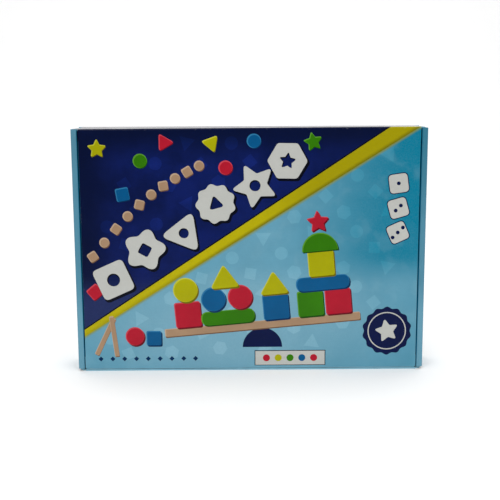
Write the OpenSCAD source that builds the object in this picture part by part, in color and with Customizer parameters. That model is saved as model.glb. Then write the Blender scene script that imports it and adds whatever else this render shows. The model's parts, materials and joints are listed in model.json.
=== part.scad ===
// A boxed set of interlocking wooden acrobats: a printed board carton whose lid hinges at the top and
// tucks in at the bottom, a folded insert with three wells, sixteen figures, four sticks and a leaflet.
// Millimetres. The carton stands on its bottom wall, the lid faces -Y, +Z is up and X runs across the lid.
// The origin is the middle of the carton's footprint.

/* [Carton] */
// Width of the closed carton
carton_w = 350; // [342:1:400]
// Height of the closed carton
carton_h = 245; // [236:1:300]
// Depth of the closed carton, from the lid to the back
carton_d = 50; // [42:1:70]
// Thickness of the corrugated board
board_t = 1.6; // [1.2:0.1:1.9]
// Width of the rolled front edge of each side wall
roll_w = 5.2; // [5.1:0.1:9]
// Outer radius of the bends that lead into the corner flaps
bend_r = 3; // [2.2:0.1:3.5]
// How far the side walls stop above the ground
side_foot = 2.4; // [2:0.1:4]
// How far the side walls stop below the top
side_head = 1; // [0.4:0.1:1.5]
// How far the corner cuts of the top and bottom walls stop behind the lid
corner_cut = 0.5; // [0.3:0.1:1.5]
// Length of the corner flaps hidden inside the side walls
corner_flap_l = 58; // [30:1:90]
// Cut at the free corners of the corner flaps
corner_flap_cut = 8; // [4:1:14]

/* [Lid] */
// Gap between the lid and each side wall
lid_gap = 1.9; // [1.2:0.1:2.5]
// Gap between the lid's lower fold and the bottom wall
lid_foot_gap = 0.3; // [0.2:0.1:1]
// Gap left along each crease so that the board can fold
crease_gap = 0.25; // [0.15:0.05:0.5]
// How far the front edge of the bottom wall stops behind the face of the lid
foot_step = 0.2; // [0:0.1:1]
// Depth of the tuck flap from its crease
tuck_d = 18; // [12:0.5:19]
// Lean of the tuck flap away from the bottom wall, in degrees
tuck_lean = 6; // [5:0.5:9]
// How far the tuck flap stops short of each end of the lid
tuck_inset = 4; // [2:0.5:10]
// Taper of the tuck flap's ends
tuck_taper = 6; // [2:0.5:12]
// Depth of the dust flaps at their widest
dust_d = 20; // [12:0.5:20.5]
// Distance from the lid's hinge to the upper end of each dust flap
dust_start = 12; // [8:1:40]
// Distance from the tuck flap's crease to the lower end of each dust flap
dust_end = 12; // [9:1:40]
// Cut at the free lower corner of each dust flap
dust_cut = 6; // [2:0.5:10]
// Side clearance that the dust flaps keep while they swing out
swing_clear = 0.35; // [0.2:0.05:0.6]

/* [Insert] */
// Free depth between the lid and the deck of the insert
headroom = 20.4; // [20.4:0.1:24]
// Gap between the insert and the walls round it
insert_gap = 0.3; // [0.2:0.1:0.8]
// Width of the deck outside the wells at the left and right
deck_margin = 14; // [6:0.5:16]

/* [Figures] */
// Number of figures side by side
columns = 4; // [2:1:4]
// Number of figures on top of each other
rows = 4; // [2:1:4]
// Width of a figure from hand to hand
fig_w = 56; // [50:0.5:57]
// Thickness of a figure
fig_t = 10; // [6:0.5:14]
// Thickness of the arms
arm_t = 12.2; // [10:0.1:12.6]
// Thickness of the legs
leg_t = 11; // [9:0.1:12]
// How much shorter each leg is than the arm above it
leg_inset = 0.4; // [0.3:0.1:2]
// Play above and below an arm in the slot of a neighbour
slot_play = 0.4; // [0.3:0.05:0.6]
// Width of the body between its slots
torso_w = 19; // [16:0.5:21]
// Width of the neck
neck_w = 15.2; // [12:0.1:16.5]
// Diameter of the head
head_d = 18.4; // [17:0.1:19.5]
// Rise of the head above the arms
head_rise = 18.6; // [17:0.1:20]
// Radius at the top of the arch between the feet
arch_r = 5; // [3:0.1:6]
// Slope of the sides of that arch from the upright, in degrees
arch_slope = 40; // [35:1:48]
// Gap between pieces that rest on each other
fit = 0.3; // [0.25:0.05:0.4]
// How far figures and sticks stand proud of the deck
proud = 2; // [0:0.5:4]

/* [Sticks and leaflet] */
// Number of balancing sticks
sticks = 4; // [2:1:4]
// Length of a stick
stick_l = 160; // [100:1:200]
// Thickness of a stick, which is square
stick_t = 7.2; // [5:0.1:9]
// Cut along the long edges of a stick
stick_cut = 0.5; // [0.2:0.1:1]
// Width of the folded leaflet
leaflet_w = 74; // [50:1:80]
// Height of the folded leaflet
leaflet_h = 105; // [70:1:150]
// Thickness of the folded leaflet
leaflet_t = 1.4; // [1:0.1:3]
// Thickness of one leaf
leaf_t = 0.5; // [0.3:0.05:0.6]
// How far the leaflet lies below the deck
leaflet_sink = 0.6; // [0.2:0.1:2]

/* [Hidden] */
$fn = 96;
eps = 0.5;
colour_names = ["green", "blue", "red", "yellow"];
paints = ["limegreen", "dodgerblue", "crimson", "gold"];
column_list = [0 : columns - 1];
row_list = [0 : rows - 1];
stick_list = [1 : sticks];

// Faces and fold lines of the carton
half_w = carton_w / 2;
half_d = carton_d / 2;
wall_x = half_w - board_t;
flange_x = wall_x - bend_r;
inner_x = half_w - roll_w;
lid_in = -half_d + board_t;
base_in = half_d - board_t;
top_in = carton_h - board_t;
fold_y = -half_d + board_t / 2;
hinge_z = carton_h - board_t / 2;
cut_y = lid_in + corner_cut;
nose_r = board_t / 2;
leaf_start = nose_r + crease_gap;

// Edges of the lid and its flaps
lid_half = inner_x - lid_gap;
dust_x = lid_half - nose_r;
tuck_z = board_t + lid_foot_gap + nose_r;
swing_play = lid_gap - swing_clear;
dust_far = hinge_z - tuck_z - dust_end;
dust_full = min(dust_d * dust_d / (2 * swing_play), dust_far - dust_cut - 1);
dust_steps = 12;

// Figures: heights, and the pitch at which they lock together
slot_h = arm_t + 2 * slot_play;
slot_r = slot_h / 2;
head_r = head_d / 2;
arm_z = leg_t + slot_h + arm_t / 2;
fig_h = leg_t + slot_h + arm_t + head_rise;
lift = arm_t + fit;
pitch_x = (fig_w + torso_w) / 2 + fit;
pitch_z = lift + leg_t + slot_h + arm_t + fit;
block_w = (columns - 1) * pitch_x + fig_w;
block_h = (rows - 1) * pitch_z + lift + fig_h;
// The arch clears the head of the figure below by the same gap
head_sink = fig_h - pitch_z;
arch_peak = head_sink - head_r + (head_r + fit) / sin(arch_slope);
arch_mid = arch_peak - arch_r / sin(arch_slope);

// Insert and wells
insert_half = inner_x - insert_gap;
insert_low = board_t + insert_gap;
insert_high = top_in - insert_gap;
mid_z = carton_h / 2;
deck_y = lid_in + headroom;
fig_well_w = block_w + 2 * fit;
fig_well_h = block_h + 2 * fit;
fig_well_x = -insert_half + deck_margin;
fig_well_z = mid_z - fig_well_h / 2;
fig_back = deck_y - proud + fig_t;
stick_pitch = stick_t + fit;
stick_well_w = sticks * stick_pitch + fit;
stick_well_h = stick_l + 2 * fit;
stick_well_x = insert_half - deck_margin - stick_well_w;
stick_well_z = mid_z - stick_well_h / 2;
stick_back = deck_y - proud + stick_t;
leaflet_well_w = leaflet_w + 2 * fit;
leaflet_well_h = leaflet_h + 2 * fit;
leaflet_well_x = (fig_well_x + fig_well_w + stick_well_x - leaflet_well_w) / 2;
leaflet_well_z = mid_z - leaflet_well_h / 2;
leaflet_back = deck_y + leaflet_sink + leaflet_t;

function colour_at(column, row) = (column + 3 * row) % 4;
function figure_name(column, row) = str("acrobat_", colour_names[colour_at(column, row)], "_", row + 1);
function stick_name(number) = str("stick_", number);
function dust_depth(r) = min(dust_d, sqrt(2 * r * swing_play));

// A board between two corners
module board(low, high) {
    translate(low) cube(high - low);
}

// A rounded edge of board along X
module nose_x(half_length, y, z) {
    translate([-half_length, y, z]) rotate([0, 90, 0]) cylinder(r = nose_r, h = 2 * half_length);
}

module base_panel() {
    color("lightskyblue") board([-half_w, base_in, 0], [half_w, half_d, carton_h]);
}

module hinge_wall() {
    color("midnightblue") {
        board([-flange_x, cut_y, top_in], [flange_x, base_in, carton_h]);
        board([-lid_half, fold_y, top_in], [lid_half, cut_y, carton_h]);
        nose_x(lid_half, fold_y, hinge_z);
    }
}

module tuck_wall() {
    color("lightskyblue") {
        board([-flange_x, cut_y, 0], [flange_x, base_in, board_t]);
        board([-lid_half, -half_d + foot_step, 0], [lid_half, cut_y, board_t]);
    }
}

// Outline of a side wall seen from above: outer panel, rolled front edge and inner panel
module side_outline(with_inner) {
    translate([wall_x, lid_in]) square([board_t, base_in - lid_in]);
    translate([inner_x + board_t, -half_d]) square([roll_w - 2 * board_t, board_t]);
    if (with_inner) translate([inner_x, lid_in]) square([board_t, base_in - lid_in]);
    intersection() {
        translate([wall_x, lid_in]) circle(board_t);
        translate([wall_x, -half_d]) square(board_t);
    }
    intersection() {
        translate([inner_x + board_t, lid_in]) circle(board_t);
        translate([inner_x, -half_d]) square(board_t);
    }
}

// The inner panel starts and ends where the bends of the corner flaps do
module side_wall() {
    translate([0, 0, side_foot]) linear_extrude(carton_h - side_head - side_foot) side_outline(false);
    translate([0, 0, bend_r]) linear_extrude(carton_h - 2 * bend_r) side_outline(true);
}

module side_wall_right() {
    color("skyblue") side_wall();
}

module side_wall_left() {
    color("skyblue") mirror([1, 0, 0]) side_wall();
}

// The bend out of the bottom wall and the flap that stands inside the right side wall
module corner_flap() {
    flap_y = base_in - corner_cut - cut_y;
    translate([flange_x, base_in, bend_r]) rotate([90, 0, 0]) linear_extrude(base_in - cut_y)
        intersection() {
            difference() {
                circle(bend_r);
                circle(bend_r - board_t);
            }
            translate([0, -bend_r]) square(bend_r);
        }
    translate([wall_x - board_t, cut_y, bend_r]) rotate([90, 0, 90]) linear_extrude(board_t)
        polygon([
            [0, 0],
            [flap_y, 0],
            [flap_y, corner_flap_l - corner_flap_cut],
            [flap_y - corner_flap_cut, corner_flap_l],
            [corner_flap_cut, corner_flap_l],
            [0, corner_flap_l - corner_flap_cut]
        ]);
}

module corner_flap_bottom_right() {
    color("skyblue") corner_flap();
}

module corner_flap_bottom_left() {
    color("skyblue") mirror([1, 0, 0]) corner_flap();
}

module corner_flap_top_right() {
    color("skyblue") translate([0, 0, carton_h]) mirror([0, 0, 1]) corner_flap();
}

module corner_flap_top_left() {
    color("skyblue") translate([0, 0, carton_h]) mirror([0, 0, 1]) mirror([1, 0, 0]) corner_flap();
}

module lid_panel() {
    lid_top = hinge_z - leaf_start;
    color("royalblue") {
        board([-dust_x, -half_d, tuck_z], [dust_x, lid_in, lid_top]);
        nose_x(dust_x, fold_y, tuck_z);
        for (side = [-1, 1]) translate([side * dust_x, fold_y, tuck_z]) cylinder(r = nose_r, h = lid_top - tuck_z);
    }
}

module tuck_flap() {
    root = lid_half - tuck_inset;
    tip = root - tuck_taper;
    color("skyblue") translate([0, fold_y, tuck_z]) rotate([tuck_lean, 0, 0])
        translate([0, 0, -nose_r]) linear_extrude(board_t)
            polygon([[-root, leaf_start], [root, leaf_start], [tip, tuck_d], [-tip, tuck_d]]);
}

// The dust flap grows along a parabola, so that it clears the side wall while the lid swings
module dust_flap() {
    curve = [
        for (i = [0 : dust_steps])
            let (r = dust_start + (dust_full - dust_start) * i / dust_steps)
            [dust_depth(r), hinge_z - r]
    ];
    full_d = dust_depth(dust_full);
    foot = hinge_z - dust_far;
    translate([dust_x - nose_r, fold_y, 0]) rotate([90, 0, 90]) linear_extrude(board_t)
        polygon(concat(
            [[leaf_start, foot], [leaf_start, hinge_z - dust_start]],
            curve,
            [[full_d, foot + dust_cut], [full_d - dust_cut, foot]]
        ));
}

module dust_flap_right() {
    color("skyblue") dust_flap();
}

module dust_flap_left() {
    color("skyblue") mirror([1, 0, 0]) dust_flap();
}

// The walls and floor round one well, and the space inside it
module well_box(x, z, w, h, floor_y) {
    board([x - board_t, deck_y, z - board_t], [x + w + board_t, floor_y + board_t, z + h + board_t]);
}

module well_space(x, z, w, h, floor_y) {
    board([x, deck_y - eps, z], [x + w, floor_y, z + h]);
}

module insert_tray() {
    color("burlywood") difference() {
        union() {
            difference() {
                board([-insert_half, deck_y, insert_low], [insert_half, base_in, insert_high]);
                board(
                    [-insert_half + board_t, deck_y + board_t, insert_low + board_t],
                    [insert_half - board_t, base_in + eps, insert_high - board_t]
                );
            }
            // In a low carton the walls of the wells end at the skirt of the insert
            intersection() {
                board([-insert_half, deck_y, insert_low], [insert_half, base_in, insert_high]);
                union() {
                    well_box(fig_well_x, fig_well_z, fig_well_w, fig_well_h, fig_back + fit);
                    well_box(stick_well_x, stick_well_z, stick_well_w, stick_well_h, stick_back + fit);
                    well_box(leaflet_well_x, leaflet_well_z, leaflet_well_w, leaflet_well_h, leaflet_back + fit);
                }
            }
        }
        well_space(fig_well_x, fig_well_z, fig_well_w, fig_well_h, fig_back + fit);
        well_space(stick_well_x, stick_well_z, stick_well_w, stick_well_h, stick_back + fit);
        well_space(leaflet_well_x, leaflet_well_z, leaflet_well_w, leaflet_well_h, leaflet_back + fit);
    }
}

// A bar with full round ends
module round_bar(w, t, mid_height) {
    translate([-w / 2 + t / 2, mid_height - t / 2]) square([w - t, t]);
    for (side = [-1, 1]) translate([side * (w - t) / 2, mid_height]) circle(t / 2);
}

module figure_outline() {
    waist = torso_w / 2 + slot_r;
    difference() {
        union() {
            round_bar(fig_w, arm_t, arm_z);
            round_bar(fig_w - 2 * leg_inset, leg_t, leg_t / 2);
            translate([-waist, leg_t / 2]) square([2 * waist, arm_z - leg_t / 2]);
            translate([-neck_w / 2, arm_z]) square([neck_w, fig_h - head_r - arm_z]);
            translate([0, fig_h - head_r]) circle(head_r);
        }
        for (side = [-1, 1]) translate([side * waist, leg_t + slot_r]) circle(slot_r);
        translate([0, arch_mid]) circle(arch_r);
        polygon([
            [-(arch_peak + eps) * tan(arch_slope), -eps],
            [-arch_r * cos(arch_slope), arch_mid + arch_r * sin(arch_slope)],
            [arch_r * cos(arch_slope), arch_mid + arch_r * sin(arch_slope)],
            [(arch_peak + eps) * tan(arch_slope), -eps]
        ]);
    }
}

// Every other column sits one arm higher, so that arms lie in the neighbours' slots
module acrobat(column, row) {
    x = fig_well_x + fit + fig_w / 2 + column * pitch_x;
    z = fig_well_z + fit + row * pitch_z + (column % 2) * lift;
    color(paints[colour_at(column, row)]) translate([x, fig_back, z]) rotate([90, 0, 0])
        linear_extrude(fig_t) figure_outline();
}

module stick(number) {
    x = stick_well_x + fit + (number - 1) * stick_pitch;
    side = stick_t - stick_cut;
    color("wheat") translate([x, stick_back - stick_t, stick_well_z + fit]) linear_extrude(stick_l)
        polygon([
            [stick_cut, 0], [side, 0], [stick_t, stick_cut], [stick_t, side],
            [side, stick_t], [stick_cut, stick_t], [0, side], [0, stick_cut]
        ]);
}

// Two leaves joined by a round fold along the left edge
module rules_leaflet() {
    fold_r = leaflet_t / 2;
    pocket = leaflet_t - 2 * leaf_t;
    color("white") translate([leaflet_well_x + fit, leaflet_back - leaflet_t, leaflet_well_z + fit])
        linear_extrude(leaflet_h) difference() {
            union() {
                translate([fold_r, 0]) square([leaflet_w - fold_r, leaflet_t]);
                translate([fold_r, fold_r]) circle(fold_r);
            }
            translate([fold_r, leaf_t]) square([leaflet_w, pocket]);
            translate([fold_r, fold_r]) circle(pocket / 2);
        }
}

base_panel();
hinge_wall();
tuck_wall();
side_wall_left();
side_wall_right();
corner_flap_top_left();
corner_flap_top_right();
corner_flap_bottom_left();
corner_flap_bottom_right();
lid_panel();
tuck_flap();
dust_flap_left();
dust_flap_right();
insert_tray();
for (row = row_list, column = column_list)
    acrobat(column, row);
for (number = stick_list)
    stick(number);
rules_leaflet();
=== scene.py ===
import json
import math
import bmesh
import bpy
from mathutils import Matrix, Vector, noise
from mathutils.geometry import delaunay_2d_cdt


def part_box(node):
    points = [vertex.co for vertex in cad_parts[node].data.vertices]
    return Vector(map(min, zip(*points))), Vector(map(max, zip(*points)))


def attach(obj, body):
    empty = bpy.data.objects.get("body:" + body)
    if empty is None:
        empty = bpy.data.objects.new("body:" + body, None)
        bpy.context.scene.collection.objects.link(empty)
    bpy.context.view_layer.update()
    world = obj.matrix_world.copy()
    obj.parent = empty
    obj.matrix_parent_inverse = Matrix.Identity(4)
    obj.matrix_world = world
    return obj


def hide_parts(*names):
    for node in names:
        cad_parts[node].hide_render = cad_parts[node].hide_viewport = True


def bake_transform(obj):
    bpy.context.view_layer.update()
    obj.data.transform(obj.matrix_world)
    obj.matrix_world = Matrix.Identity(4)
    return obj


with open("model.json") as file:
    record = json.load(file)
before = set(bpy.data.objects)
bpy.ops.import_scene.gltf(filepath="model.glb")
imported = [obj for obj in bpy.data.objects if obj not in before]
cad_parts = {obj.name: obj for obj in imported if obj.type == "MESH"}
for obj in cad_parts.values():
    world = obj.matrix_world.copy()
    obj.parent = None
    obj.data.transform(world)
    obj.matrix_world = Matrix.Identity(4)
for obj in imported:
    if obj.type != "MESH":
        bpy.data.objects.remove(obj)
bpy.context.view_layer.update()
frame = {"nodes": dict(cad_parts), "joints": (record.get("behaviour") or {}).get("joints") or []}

# The closed carton stands on its bottom wall with its printed lid facing -Y. Everything is in metres, but for
# the shapes of the print, which are drawn in millimetres.
MM = 0.001
nodes = frame["nodes"]
hinges = {joint["name"]: Vector(joint["pos_m"]) for joint in frame["joints"] if "pos_m" in joint}

# Faces and fold lines, read from the frame
lid_low, lid_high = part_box("lid_panel")
base_low, base_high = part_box("base_panel")
side_low, side_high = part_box("side_wall_right")
foot_low, foot_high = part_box("tuck_wall")
corner_low, corner_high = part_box("corner_flap_bottom_right")
dust_low, dust_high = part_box("dust_flap_right")
lid_fold, tuck_fold = hinges["lid_hinge"], hinges["tuck_flap_fold"]
dust_fold = hinges["dust_flap_right_fold"]
BOARD = lid_high.y - lid_low.y
NOSE = BOARD / 2
FRONT, BACK = lid_low.y, base_high.y
TOP, HALF_W = base_high.z, base_high.x
LID_HALF, FLANGE, TUCK_HALF = lid_high.x, foot_high.x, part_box("tuck_flap")[1].x
CORNER_CUT_Y = corner_low.y
BEND_R = HALF_W - BOARD - FLANGE
UP, RIGHT, BACKWARD = Vector((0, 0, 1)), Vector((1, 0, 0)), Vector((0, 1, 0))
SIDES = ((-1, "left"), (1, "right"))

# The tuck flap: its lean, its depth, half its width at the free edge and the radius of the corners there
TUCK_LEAN, TUCK_DEPTH, TUCK_TIP, TUCK_CORNER = math.radians(6), 18 * MM, 157.9 * MM, 3 * MM
TUCK_WAY = Vector((0, math.cos(TUCK_LEAN), math.sin(TUCK_LEAN)))
# How far a crease's strip and its wear reach over the flat board on either side of its fold line
REACH = 2 * MM
WORN_REACH = 0.6 * REACH
# Where the walls' boards end and their creases with the back begin
BACK_LINE = BACK - NOSE - REACH
# How far the inside of a crease keeps from its corner, and the least radius inside a rounded fold
CORNER_SPREAD, FOLD_CORE = 0.08 * MM, 0.1 * MM
# Outer radius of the lid's upper fold, how far it sags, and what is cut off the lid's lower corners
FOLD_R, FOLD_SAG, CORNER_TRIM = BOARD, 1.0 * MM, 1.6 * MM
# Where the sag runs out on the right, in half widths. It is full from one half width further left.
SAG_END = 0.72
# How far the rolled side edges spring open inwards at the front, and how far back that reaches
ROLL_SWELL, ROLL_SWELL_RUN = 0.9 * MM, 12 * MM
# How much further they stand open at the bottom, and the height at which that starts
ROLL_SWELL_LOW, ROLL_SWELL_TOP = 0.5 * MM, 150 * MM
# How far the lid and the back bow inwards, and how quickly that changes over them
LID_BOW, BACK_BOW, BOW_CHANGE = 0.5 * MM, 0.4 * MM, 9
# Cut at the free corners of the corner flaps, and how far their back edge stays clear
FLAP_CUT, FLAP_CLEAR = 8 * MM, 0.5 * MM
# How far the print reaches over the inside of a board behind a printed cut edge
INKED_RIM = 2 * MM
FLUTE_PITCH = 3.2 * MM
# Spacing of the points over the large panels and over the walls, and the steps round a crease and a fold
GRID, WALL_GRID, CREASE_STEPS, FOLD_STEPS = 9 * MM, 12 * MM, 8, 6
# Points closer than this are one, and no board reaches as far out as FAR
SAME, FAR = 1e-6, 0.4

# Camera at the photograph's viewpoint
VIEW_TURN, VIEW_DROP, VIEW_ROLL = math.radians(0.467), math.radians(9.262), math.radians(-0.267)
VIEW_DISTANCE, VIEW_TARGET = 0.92309, Vector((0, 0, 0.11969))
FOCAL_PIXELS, FRAME_PIXELS, SENSOR_MM = 900.15, 500, 36


def show(name, data):
    """An object in the scene for a mesh, a lamp or a camera."""
    thing = bpy.data.objects.new(name, data)
    bpy.context.scene.collection.objects.link(thing)
    return thing


def make_camera():
    flat = math.cos(VIEW_DROP)
    forward = Vector((math.sin(VIEW_TURN) * flat, math.cos(VIEW_TURN) * flat, -math.sin(VIEW_DROP)))
    level = forward.cross(UP).normalized()
    right = level * math.cos(VIEW_ROLL) + level.cross(forward) * math.sin(VIEW_ROLL)
    turned = Matrix((right, right.cross(forward), -forward)).transposed().to_4x4()
    camera = show("camera", bpy.data.cameras.new("camera"))
    camera.matrix_world = Matrix.Translation(VIEW_TARGET - forward * VIEW_DISTANCE) @ turned
    camera.data.sensor_width = SENSOR_MM
    camera.data.lens = FOCAL_PIXELS * SENSOR_MM / FRAME_PIXELS
    camera.data.clip_start = 0.01
    bpy.context.scene.camera = camera


# Materials
def linear(*colour):
    """An sRGB colour of 0 to 255 as a linear one for a shader."""
    parts = [part / 255 for part in colour]
    return tuple(p / 12.92 if p <= 0.04045 else ((p + 0.055) / 1.055) ** 2.4 for p in parts) + (1,)


def shaded(colour, share):
    """A colour made darker, below 1, or lighter."""
    return tuple(min(1.0, part * share) for part in colour[:3]) + (1,)


class Shader:
    """One node material: each call adds a node and gives back its output."""

    def __init__(self, name):
        self.material = bpy.data.materials.new(name)
        self.material.use_nodes = True
        self.tree = self.material.node_tree

    def fill(self, node, inputs):
        """Links each input to an output, or sets it to a value."""
        for key, value in inputs.items():
            if isinstance(value, bpy.types.NodeSocket):
                self.tree.links.new(value, node.inputs[key])
            else:
                node.inputs[key].default_value = value

    def add(self, kind, inputs=None, out=0, **settings):
        node = self.tree.nodes.new("ShaderNode" + kind)
        for key, value in settings.items():
            setattr(node, key, value)
        self.fill(node, inputs or {})
        return node.outputs[out]

    def math(self, operation, first, second=0.0, clamp=False):
        return self.add("Math", {0: first, 1: second}, operation=operation, use_clamp=clamp)

    def plus(self, first, second, clamp=False):
        return self.math("ADD", first, second, clamp)

    def minus(self, first, second):
        return self.math("SUBTRACT", first, second)

    def times(self, first, second):
        return self.math("MULTIPLY", first, second)

    def place(self, stretch=(1, 1, 1)):
        """Rest position on the piece, in metres, stretched per axis."""
        return self.add("Mapping", {"Vector": self.add("TexCoord", out=3), "Scale": stretch})

    def sheet(self):
        """Position on the flat sheet that the board was cut from: across and up, in metres."""
        spot = self.add("UVMap", uv_map="sheet")
        return [self.add("SeparateXYZ", {0: spot}, out) for out in range(2)]

    def noise(self, scale, detail=3.0, stretch=(1, 1, 1), rough=0.5, twist=0.0):
        inputs = {"Vector": self.place(stretch), "Scale": scale, "Detail": detail}
        inputs.update({"Roughness": rough, "Distortion": twist})
        return self.add("TexNoise", inputs)

    def range(self, value, low, high, to_low=0.0, to_high=1.0):
        """A smooth step from to_low, up to the value low, to to_high, from the value high."""
        inputs = {"Value": value, "From Min": low, "From Max": high, "To Min": to_low, "To Max": to_high}
        return self.add("MapRange", inputs, interpolation_type="SMOOTHSTEP")

    def patches(self, scale, detail, start, full, least=0.0, most=1.0, **look):
        """Noise as soft patches: least below the level start, most above the level full."""
        return self.range(self.noise(scale, detail, **look), start, full, least, most)

    def mix(self, share, first, second, blend="MIX"):
        inputs = {0: share, 6: first, 7: second}
        return self.add("Mix", inputs, out=2, data_type="RGBA", blend_type=blend)

    def layers(self, colour, *coats):
        """The colour with coats over it, each a share and a colour."""
        for share, coat in coats:
            colour = self.mix(share, colour, coat)
        return colour

    def mark(self, name):
        """A value kept on the mesh, such as how near a point is to a crease."""
        return self.add("Attribute", out=2, attribute_name=name)

    def bump(self, height, depth, below=None):
        inputs = {"Height": height, "Distance": depth, "Strength": 1.0}
        if below is not None:
            inputs["Normal"] = below
        return self.add("Bump", inputs)

    def finish(self, colour, relief, roughness, gloss):
        inputs = {"Base Color": colour, "Roughness": roughness, "Specular IOR Level": gloss}
        if relief is not None:
            inputs["Normal"] = relief
        self.fill(self.tree.nodes["Principled BSDF"], inputs)
        return self.material


def flute_height(shader, up):
    """The faint washboard that the flutes print through a board's face."""
    return shader.math("SINE", shader.times(up, 2 * math.pi / FLUTE_PITCH))


# Edges of the lid's diagonal stripe: height in millimetres at the lid's left side, and slope
STRIPE_TOP, STRIPE_LOW = (42.7, 0.6612), (35.8, 0.6239)
# Colours into which the print's grounds fade. The paler navy is painted reflection of the floor in the gloss,
# low on the lid.
DEEP_BLUE, CLOUD_BLUE, GLOW_BLUE = linear(0, 116, 144), linear(132, 172, 186), linear(122, 166, 184)
ROYAL_BLUE, NAVY_PAINTED_REFLECTION = linear(8, 26, 90), linear(34, 46, 92)
STRIPE_OLIVE, STRIPE_GLOW, STRIPE_DULL = linear(104, 102, 10), linear(124, 134, 40), linear(154, 144, 2)
SIDE_DEEP, SIDE_PALE = linear(54, 117, 139), linear(98, 149, 170)
# How much lighter the faint shapes are than what they lie on: red, green, blue
FAINT_LIFT, FAINT_NAVY_LIFT = (1.24, 1.15, 1.12, 1), (1.7, 1.5, 1.45, 1)
# Fades over a sheet: where each starts and ends, in metres, and its share there where that isn't 0 and 1
DEEPEN_RIGHT, DEEPEN_UP = (0.0, 0.166), (0.086, 0.122, 0.27, 1)
BRIGHTEN_RIGHT, BRIGHTEN_DOWN = (-0.168, -0.115), (0.205, 0.243, 1, 0)
# The navy's fade to a paler colour low on the lid: painted reflection of the floor in the gloss
NAVY_REFLECTION_DOWN = (0.070, 0.100, 0.85, 0)
STRIPE_DULLER_RIGHT, OLIVE_RIGHT, OLIVE_DOWN = (0.0, 0.075), (-0.160, 0.040, 0.35, 1), (0, 5 * MM, 0.95, 0)
STRIPE_GLOW_UP = (0, 3.6 * MM, 0.85, 0)
SIDE_PALER_DOWN, SIDE_DEEPER_UP = (0.055, 0.095, 1, 0), (0.110, 0.245)
# A fade over the carton's width
SIDE_DEEPER_RIGHT = (-0.05, 0.05)
# Middle and half size of the paler glow low on the lid, its fade by squared distance, and its share
GLOW_MIDDLE, GLOW_SIZE = (0.005, 0.045), (0.150, 0.055)
GLOW_FADE, GLOW_SHARE = (0.1, 1.5, 1, 0), 0.7


def blue_ground(shader, colour, across, up):
    """The pale blue ground: deeper to the upper right, with faint paler clouds."""
    drift = shader.times(shader.minus(shader.noise(16, rough=0.6), 0.5), 0.5)
    upper_right = shader.times(shader.range(across, *DEEPEN_RIGHT), shader.range(up, *DEEPEN_UP))
    cloud = shader.patches(scale=40, detail=3.5, start=0.50, full=0.70, most=0.14, twist=0.2)
    deep = shader.plus(upper_right, drift, clamp=True)
    return shader.layers(colour, (deep, DEEP_BLUE), (cloud, CLOUD_BLUE))


def navy_ground(shader, colour, across, up):
    """The navy ground: royal blue inside, almost black along the left side and the top, and paler low down,
    which is painted reflection of the pale floor in the gloss.
    """
    inside = shader.times(shader.range(across, *BRIGHTEN_RIGHT), shader.range(up, *BRIGHTEN_DOWN))
    cloud = shader.patches(scale=30, detail=3, start=0.30, full=0.70, least=0.35, rough=0.55)
    # Painted reflection: the navy turns paler low on the lid, as if it mirrored the pale floor
    low = shader.range(up, *NAVY_REFLECTION_DOWN)
    return shader.layers(colour, (shader.times(inside, cloud), ROYAL_BLUE), (low, NAVY_PAINTED_REFLECTION))


def glow_share(shader, across, up):
    """The share of the glow low on the lid: most in its middle, fading to 0 all round it."""
    squares = []
    for place, middle, size in zip((across, up), GLOW_MIDDLE, GLOW_SIZE):
        reach = shader.times(shader.minus(place, middle), 1 / size)
        squares.append(shader.times(reach, reach))
    return shader.times(shader.range(shader.plus(*squares), *GLOW_FADE), GLOW_SHARE)


def stripe_line(shader, across):
    """Height of the stripe's lower edge."""
    start, slope = STRIPE_LOW
    return shader.plus(shader.times(across, slope), start * MM + slope * LID_HALF)


def yellow_ground(shader, colour, across, up):
    """The stripe: duller to the right and olive along its lower edge."""
    above = shader.minus(up, stripe_line(shader, across))
    olive = shader.times(shader.range(above, *OLIVE_DOWN), shader.range(across, *OLIVE_RIGHT))
    dull = shader.range(across, *STRIPE_DULLER_RIGHT)
    return shader.layers(colour, (dull, STRIPE_DULL), (olive, STRIPE_OLIVE))


def below_stripe(shader, colour, across, up):
    """The pale blue ground of the lid, into which the stripe fades softly."""
    bright = shader.mix(glow_share(shader, across, up), colour, GLOW_BLUE)
    ground = blue_ground(shader, bright, across, up)
    below = shader.minus(stripe_line(shader, across), up)
    return shader.mix(shader.range(below, *STRIPE_GLOW_UP), ground, STRIPE_GLOW)


def faint_on_blue(shader, colour, across, up):
    """A faint shape on the pale blue ground of the lid."""
    return shader.mix(1.0, below_stripe(shader, colour, across, up), FAINT_LIFT, "MULTIPLY")


def faint_on_navy(shader, colour, across, up):
    """A faint shape on the navy ground."""
    return shader.mix(1.0, navy_ground(shader, colour, across, up), FAINT_NAVY_LIFT, "MULTIPLY")


def side_ground(shader, colour, across, up):
    """The side strips: paler low down, and deeper at the upper right."""
    right = shader.range(shader.add("SeparateXYZ", {0: shader.place()}), *SIDE_DEEPER_RIGHT)
    deep = shader.times(right, shader.range(up, *SIDE_DEEPER_UP))
    return shader.layers(colour, (deep, SIDE_DEEP), (shader.range(up, *SIDE_PALER_DOWN), SIDE_PALE))


# Gloss of the print, and of the top wall, where it is seen at a low angle and mirrors the backdrop
INK_GLOSS, TOP_GLOSS = 0.10, 0.6
# How mottled an ink is: in general, in a large pale field, and in navy
MOTTLE, FIELD_MOTTLE, NAVY_MOTTLE = 0.08, 0.05, 0.10
WHITE_CORE, BROWN_FLECK, RUBBED_WOOD = linear(196, 196, 190), linear(104, 78, 54), linear(206, 178, 138)


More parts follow.
